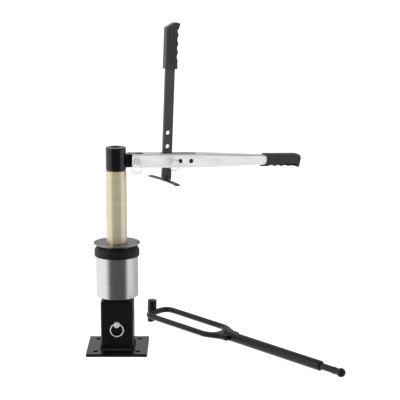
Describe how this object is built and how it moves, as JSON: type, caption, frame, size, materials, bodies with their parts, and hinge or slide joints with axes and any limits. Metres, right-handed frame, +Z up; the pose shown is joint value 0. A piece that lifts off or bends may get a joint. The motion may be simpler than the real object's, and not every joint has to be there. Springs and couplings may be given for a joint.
{
  "type": "bead breaker",
  "caption": "Post-mounted manual bead breaker: wheel seat and centring post, swivelling head, long lever with a shoe arm, removable ring pins and a loose mounting bar.",
  "frame": {"origin": "middle of the base plate's underside, on the post's axis", "axes": "+Z up along the post, +X to the side the lever points to, +Y to the back"},
  "size_m": [0.6834, 0.5306, 0.8862],
  "materials": {
    "black_powder_coat": "semi-gloss black powder coat on steel",
    "black_gloss_coat": "smooth gloss black coat on steel",
    "arm_coat": "satin black coat on steel bar",
    "bar_coat": "semi-gloss black powder coat on steel",
    "spun_aluminium": "turned aluminium with fine circular brushing",
    "zinc_plate": "dull zinc plate",
    "ground_steel": "ground steel bar",
    "ivory_nylon": "turned ivory nylon, slightly translucent",
    "bronze": "plain bronze bearing bush",
    "lever_plate": "bright zinc plate on pressed steel",
    "grip_rubber": "moulded black rubber grip",
    "black_rubber": "black rubber ring",
    "zinc_pin": "bright zinc plate"
  },
  "bodies": {
    "base": {"base_plate": "black_powder_coat", "receiver_tube": "black_powder_coat", "receiver_weld": "black_powder_coat", "column_tube": "black_powder_coat", "column_top_plate": "black_powder_coat", "drum": "spun_aluminium", "rubber_ring": "black_rubber", "ring_spacer": "zinc_plate", "support_disc": "zinc_plate", "centre_shaft": "ground_steel", "shaft_washer": "zinc_plate", "shaft_nut": "zinc_plate", "centre_sleeve": "ivory_nylon"},
    "bush": {"head_bush": "bronze"},
    "head": {"collar": "black_gloss_coat", "lever_bracket": "black_powder_coat"},
    "lever": {"lever_channel": "lever_plate", "lever_grip": "grip_rubber"},
    "arm": {"breaker_arm": "arm_coat", "arm_grip": "grip_rubber", "bead_shoe": "arm_coat", "shoe_gussets": "arm_coat"},
    "base_pin": {"base_pin": "zinc_pin"},
    "base_ring": {"base_pin_ring": "zinc_pin"},
    "pivot_pin": {"pivot_pin": "zinc_pin"},
    "pivot_ring": {"pivot_pin_ring": "zinc_pin"},
    "arm_pin": {"arm_pin": "zinc_pin"},
    "arm_ring": {"arm_pin_ring": "zinc_pin"},
    "mount_bar": {"bar_loop": "bar_coat", "bar_web": "bar_coat", "bar_tube": "bar_coat", "bar_head_post": "bar_coat", "bar_head_toe": "bar_coat", "bar_end": "bar_coat"}
  },
  "joints": [
    {"name": "head_lift", "type": "slide", "parent": "base", "child": "bush", "axis": [0, 0, 1], "range_m": [0, 0.3]},
    {"name": "head_swivel", "type": "hinge", "parent": "bush", "child": "head", "pos_m": [0, 0, 0.528], "axis": [0, 0, 1], "continuous": true},
    {"name": "lever_pivot", "type": "hinge", "parent": "head", "child": "lever", "pos_m": [0.04792, 0.01744, 0.522], "axis": [0.342, -0.9397, 0], "range_deg": [-22, 72]},
    {"name": "arm_pivot", "type": "hinge", "parent": "lever", "child": "arm", "pos_m": [0.13518, 0.0492, 0.51681], "axis": [-0.342, 0.9397, 0], "range_deg": [-13, 44]},
    {"name": "base_pin_pull", "type": "slide", "parent": "base", "child": "base_pin", "axis": [0, -1, 0], "range_m": [0, 0.1]},
    {"name": "base_ring_swing", "type": "hinge", "parent": "base_pin", "child": "base_ring", "pos_m": [0, -0.05, 0.0825], "axis": [-1, 0, 0], "range_deg": [-6, 140]},
    {"name": "pivot_pin_pull", "type": "slide", "parent": "lever", "child": "pivot_pin", "axis": [0.342, -0.9397, 0], "range_m": [0, 0.06]},
    {"name": "pivot_ring_swing", "type": "hinge", "parent": "pivot_pin", "child": "pivot_ring", "pos_m": [0.05797, -0.01082, 0.51801], "axis": [-0.9382, -0.3415, 0.0558], "range_deg": [-6, 140]},
    {"name": "arm_pin_pull", "type": "slide", "parent": "lever", "child": "arm_pin", "axis": [0.342, -0.9397, 0], "range_m": [0, 0.06]},
    {"name": "arm_ring_swing", "type": "hinge", "parent": "arm_pin", "child": "arm_ring", "pos_m": [0.14818, 0.02201, 0.51407], "axis": [-0.6433, -0.2341, -0.729], "range_deg": [-6, 140]},
    {"name": "mount_bar_lift", "type": "slide", "parent": "base", "child": "mount_bar", "axis": [0, 0, 1], "range_m": [0, 0.3]}
  ]
}
